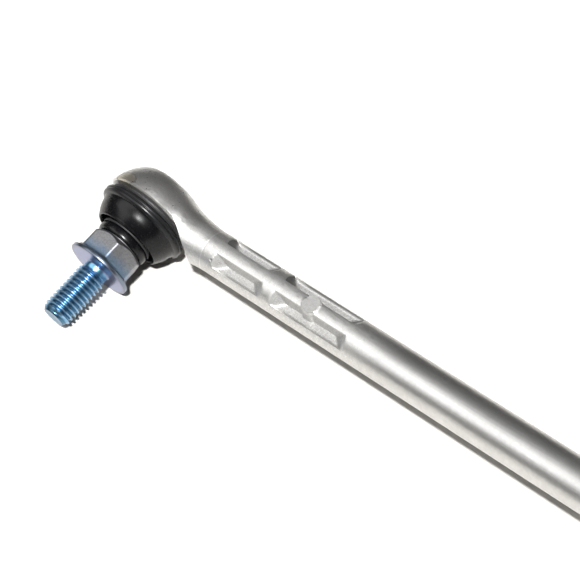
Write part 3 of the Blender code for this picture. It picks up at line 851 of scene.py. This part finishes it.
class LINK_OT_boots(bpy.types.Operator):
    """Build the two rubber dust boots"""

    bl_idname = "link.boots"
    bl_label = "Dust boots"

    def execute(self, context):
        material = rubber_finish(context.scene.link_colours)
        points = turned(rounded(boot_profile()), RING_COLUMNS)
        for end in BALLS:
            boot = skin(f"boot_{end}", on_joint(points, end), ring=True)
            finish_piece(boot, material, "boot_rubber", None, f"dust_boot_{end}")
            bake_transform(boot)
        return {"FINISHED"}


def clamp_profile():
    """The clamp ring's section: a flat band in two turns, with a groove between them."""
    return np.array((
        (13.4, 1.92), (14.28, 1.92), (14.28, 2.32), (14.05, 2.4), (14.28, 2.48), (14.28, 2.88),
        (13.4, 2.88),
    )) * MM


def coil_points():
    """The garter ring: a ring of round section whose thickness swells once for each of its coils.

    The swell lags with the bearing round the section, so that the coils lean: t (1 + s cos(n turn + around)).
    """
    turn = np.linspace(0.0, 2 * math.pi, COIL_STEPS, endpoint=False)
    around = np.linspace(0.0, 2 * math.pi, COIL_SIDES, endpoint=False)[:, None]
    thick = GARTER_THICKNESS * (1.0 + COIL_SWELL * np.cos(COILS * turn + around))
    radius = GARTER_RADIUS + thick * np.cos(around)
    height = GARTER_HEIGHT + thick * np.sin(around)
    return np.stack([radius * np.cos(turn), radius * np.sin(turn), height], -1)


class LINK_OT_boot_rings(bpy.types.Operator):
    """Build the clamp ring and the garter ring of each boot"""

    bl_idname = "link.boot_rings"
    bl_label = "Boot rings"

    def execute(self, context):
        base = tuple(context.scene.link_colours.spring)
        material = plain_finish("spring_steel", base, 0.0, 0.45, 0.3 * MM, 0.01 * MM)
        band, coil = turned(rounded(clamp_profile(), 1), RING_COLUMNS), coil_points()
        for end in BALLS:
            clamp = skin(f"clamp_ring_{end}", on_joint(band, end), ring=True)
            finish_piece(clamp, material, "spring_steel", f"boot_{end}", f"boot_clamp_ring_{end}")
            garter = skin(f"garter_ring_{end}", on_joint(coil, end), ring=True)
            finish_piece(garter, material, "spring_steel", f"boot_neck_{end}", f"boot_neck_ring_{end}")
        return {"FINISHED"}


class LINK_OT_inner_parts(bpy.types.Operator):
    """Give the bearing shells and retaining rings inside the housings their finishes"""

    bl_idname = "link.inner_parts"
    bl_label = "Inner parts"

    def execute(self, context):
        colours = context.scene.link_colours
        acetal = plain_finish("acetal", tuple(colours.acetal), 0.0, 0.38, 0.5 * MM, 0.008 * MM)
        steel = plain_finish("turned_steel", tuple(colours.steel), 1.0, 0.3, 0.2 * MM, 0.006 * MM)
        for end in BALLS:
            for node, material in ((f"bearing_shell_{end}", acetal), (f"retaining_ring_{end}", steel)):
                materials = frame["nodes"][node].data.materials
                materials.clear()
                materials.append(material)
        return {"FINISHED"}


# The stage

STEEPEST_LEAN = math.radians(30)
LEAN_HALVINGS = 24
FLOOR_WAVE = 60 * MM            # how quickly the floor turns from leaning to level
FLOOR_OFFSET = 12 * MM          # how far the middle of the leaning part is from the rod's axis
FLOOR_REACH = 6.0
KEY_DIRECTION = (0.365, -0.17, 0.91)
FILL_DIRECTION = (-0.48, -0.33, 0.81)
FILL_DISTANCE = 0.9
FILL_SIZE = (0.9, 0.5)
SKY_TONE = (1.0, 0.985, 0.96, 1.0)
ZENITH_FROM = 0.45              # height of a direction from which the sky is at its zenith strength
CARD_HALF_WIDTH = 0.7
CARD_NEAR, CARD_FAR = (88 * MM, -0.030), (128 * MM, 0.125)  # (distance behind the rod's axis, height)
AIM_FROM_BALL = (43.5, 9.9, -21.9)  # millimetres, from the first ball's centre to where the camera looks


def support(nodes, lean):
    """How far the nodes reach towards a floor that leans by an angle about the rod's axis."""
    normal = np.array([0.0, math.sin(lean), math.cos(lean)])
    reach = []
    for node in nodes:
        mesh = frame["nodes"][node].data
        points = np.zeros(3 * len(mesh.vertices))
        mesh.vertices.foreach_get("co", points)
        reach.append(-((points.reshape(-1, 3) - BALLS[1]) @ normal).min())
    return max(reach)


def resting_floor():
    """The lean and depth of the floor that the link lies on once it has rolled until its studs touch."""
    low, high = 0.0, STEEPEST_LEAN
    for _ in range(LEAN_HALVINGS):
        lean = (low + high) / 2
        if support(["ball_stud_1", "ball_stud_2"], lean) > support(["dust_boot_1", "link_body"], lean):
            high = lean
        else:
            low = lean
    return lean, support(["dust_boot_1", "link_body", "ball_stud_1"], lean)


def floor_object(colour_of):
    """A wide floor, level far away and leaning under the link: z = z0 - tan(lean) w tanh((y - y0) / w).

    Its rows lie closest together under the link: their distance from y0 grows with the fourth power.
    """
    lean, depth = resting_floor()
    wave, far = FLOOR_WAVE, FLOOR_REACH
    middle = AXIS_Y - FLOOR_OFFSET
    spread = np.linspace(-1.0, 1.0, 121)
    y = middle + np.sign(spread) * (np.abs(spread) ** 4) * far
    x = np.linspace(-far, far, 9)
    ground = -depth / math.cos(lean) - math.tan(lean) * (middle - AXIS_Y)
    z = ground - math.tan(lean) * wave * np.tanh((y - middle) / wave)
    points = np.stack(np.broadcast_arrays(x[None, :], y[:, None], z[:, None]), -1)
    index = np.arange(points.shape[0] * points.shape[1]).reshape(points.shape[:2])
    quads = np.stack([index[:-1, :-1], index[:-1, 1:], index[1:, 1:], index[1:, :-1]], -1)
    mesh = bpy.data.meshes.new("floor")
    mesh.from_pydata(points.reshape(-1, 3), [], quads.reshape(-1, 4).tolist())
    mesh.shade_smooth()
    floor = bpy.data.objects.new("floor", mesh)
    finish = Finish("floor", Roughness=0.8, Specular_IOR_Level=0.2)
    tone = finish.noise(0.4, 2.0)
    finish.link("Base Color", finish.mix(tone, shade(colour_of, 0.99), colour_of))
    mesh.materials.append(finish.material)
    return floor


def key_light(settings, aim):
    """The main light: far away, soft-edged, and a little above the camera's line of sight."""
    data = bpy.data.lights.new("key", "SUN")
    data.energy = settings.key_strength
    data.angle = settings.key_softness
    lamp = bpy.data.objects.new("key", data)
    direction = Vector(KEY_DIRECTION).normalized()
    lamp.location = aim + direction
    lamp.rotation_euler = direction.to_track_quat("Z", "Y").to_euler()
    return lamp


def softbox(settings, aim):
    """The fill light: a wide softbox that the rod's bright side mirrors."""
    data = bpy.data.lights.new("fill", "AREA")
    data.shape = "RECTANGLE"
    data.size, data.size_y = FILL_SIZE
    data.energy = settings.fill_power
    lamp = bpy.data.objects.new("fill", data)
    direction = Vector(FILL_DIRECTION).normalized()
    lamp.location = aim + direction * FILL_DISTANCE
    lamp.rotation_euler = direction.to_track_quat("Z", "Y").to_euler()
    return lamp


def studio_world(settings):
    """Dim light from all round that changes smoothly from its horizon strength to its zenith strength."""
    world = bpy.data.worlds.new("studio")
    world.use_nodes = True
    nodes, links = world.node_tree.nodes, world.node_tree.links
    place = nodes.new("ShaderNodeTexCoord")
    axes = nodes.new("ShaderNodeSeparateXYZ")
    fade = nodes.new("ShaderNodeMapRange")
    fade.interpolation_type = "SMOOTHSTEP"
    fade.inputs["From Min"].default_value = 0.0
    fade.inputs["From Max"].default_value = ZENITH_FROM
    fade.inputs["To Min"].default_value = settings.horizon
    fade.inputs["To Max"].default_value = settings.zenith
    links.new(place.outputs["Generated"], axes.inputs["Vector"])
    links.new(axes.outputs["Z"], fade.inputs["Value"])
    sky = nodes["Background"]
    sky.inputs["Color"].default_value = SKY_TONE
    links.new(fade.outputs["Result"], sky.inputs["Strength"])
    return world


def black_card():
    """A dark card behind the rod that only reflections see, to give the bright metal a dark side."""
    corners = [(x, AXIS_Y + behind, z)
               for (behind, z), ends in ((CARD_NEAR, (-1, 1)), (CARD_FAR, (1, -1)))
               for x in (CARD_HALF_WIDTH * end for end in ends)]
    mesh = bpy.data.meshes.new("black_card")
    mesh.from_pydata(corners, [], [(0, 1, 2, 3)])
    card = bpy.data.objects.new("black_card", mesh)
    finish = Finish("black_card", Base_Color=(0.02, 0.02, 0.02, 1.0), Roughness=0.9)
    mesh.materials.append(finish.material)
    card.visible_camera = False
    card.visible_shadow = False
    card.visible_diffuse = False
    return card


def camera_object(settings):
    """The camera: turned by azimuth, elevation and roll, and backed off from the point that it looks at."""
    azimuth, elevation = settings.azimuth, settings.elevation
    back = Vector((math.sin(azimuth) * math.cos(elevation),
                   -math.cos(azimuth) * math.cos(elevation), math.sin(elevation)))
    level = Vector((math.cos(azimuth), math.sin(azimuth), 0.0))
    upward = back.cross(level)
    right = math.cos(settings.roll) * level + math.sin(settings.roll) * upward
    turn = Matrix((right, back.cross(right), back)).transposed()
    aim = Vector(BALLS[1]) + Vector(AIM_FROM_BALL) * MM
    data = bpy.data.cameras.new("camera")
    data.lens = settings.focal
    data.clip_start = 0.01
    camera = bpy.data.objects.new("camera", data)
    camera.matrix_world = Matrix.Translation(aim + back * settings.distance) @ turn.to_4x4()
    return camera, aim


class LINK_OT_stage(bpy.types.Operator):
    """Set up the floor, the studio light and the camera"""

    bl_idname = "link.stage"
    bl_label = "Stage"

    def execute(self, context):
        scene = context.scene
        settings = scene.link_stage
        camera, aim = camera_object(settings)
        floor = floor_object(tuple(settings.floor_colour))
        card = black_card()
        lamps = key_light(settings, aim), softbox(settings, aim)
        for obj in (camera, floor, card, *lamps):
            scene.collection.objects.link(obj)
        scene.camera = camera
        scene.world = studio_world(settings)
        scene.view_settings.view_transform = "Standard"
        return {"FINISHED"}


class LINK_PT_panel(bpy.types.Panel):
    """Lists the link's sizes, colours and build steps"""

    bl_idname = "LINK_PT_panel"
    bl_label = "Stabiliser Link"
    bl_space_type = "VIEW_3D"
    bl_region_type = "UI"
    bl_category = "Link"

    def draw(self, context):
        for title, group, operators in STEPS:
            box = self.layout.box()
            box.label(text=title)
            settings = getattr(context.scene, group)
            for name in settings.__annotations__:
                box.prop(settings, name)
            for operator in operators:
                box.operator(operator.bl_idname)


GROUPS = {
    "link_forging": ForgingSizes,
    "link_stud": StudSizes,
    "link_colours": FinishColours,
    "link_stage": StageSettings,
}
STEPS = (
    ("Forging", "link_forging", (LINK_OT_forging,)),
    ("Studs", "link_stud", (LINK_OT_studs,)),
    ("Finishes", "link_colours", (LINK_OT_boots, LINK_OT_boot_rings, LINK_OT_inner_parts)),
    ("Stage", "link_stage", (LINK_OT_stage,)),
)
OPERATORS = [operator for _, _, operators in STEPS for operator in operators]


def register():
    """Register the property groups, the operators and the panel."""
    for name, group in GROUPS.items():
        bpy.utils.register_class(group)
        setattr(bpy.types.Scene, name, PointerProperty(type=group))
    for operator in OPERATORS:
        bpy.utils.register_class(operator)
    bpy.utils.register_class(LINK_PT_panel)


def unregister():
    """Undo register."""
    bpy.utils.unregister_class(LINK_PT_panel)
    for operator in reversed(OPERATORS):
        bpy.utils.unregister_class(operator)
    for name, group in reversed(GROUPS.items()):
        delattr(bpy.types.Scene, name)
        bpy.utils.unregister_class(group)


def main():
    """Build every piece in order."""
    register()
    for operator in OPERATORS:
        group, name = operator.bl_idname.split(".")
        getattr(getattr(bpy.ops, group), name)()


if __name__ == "__main__":
    main()
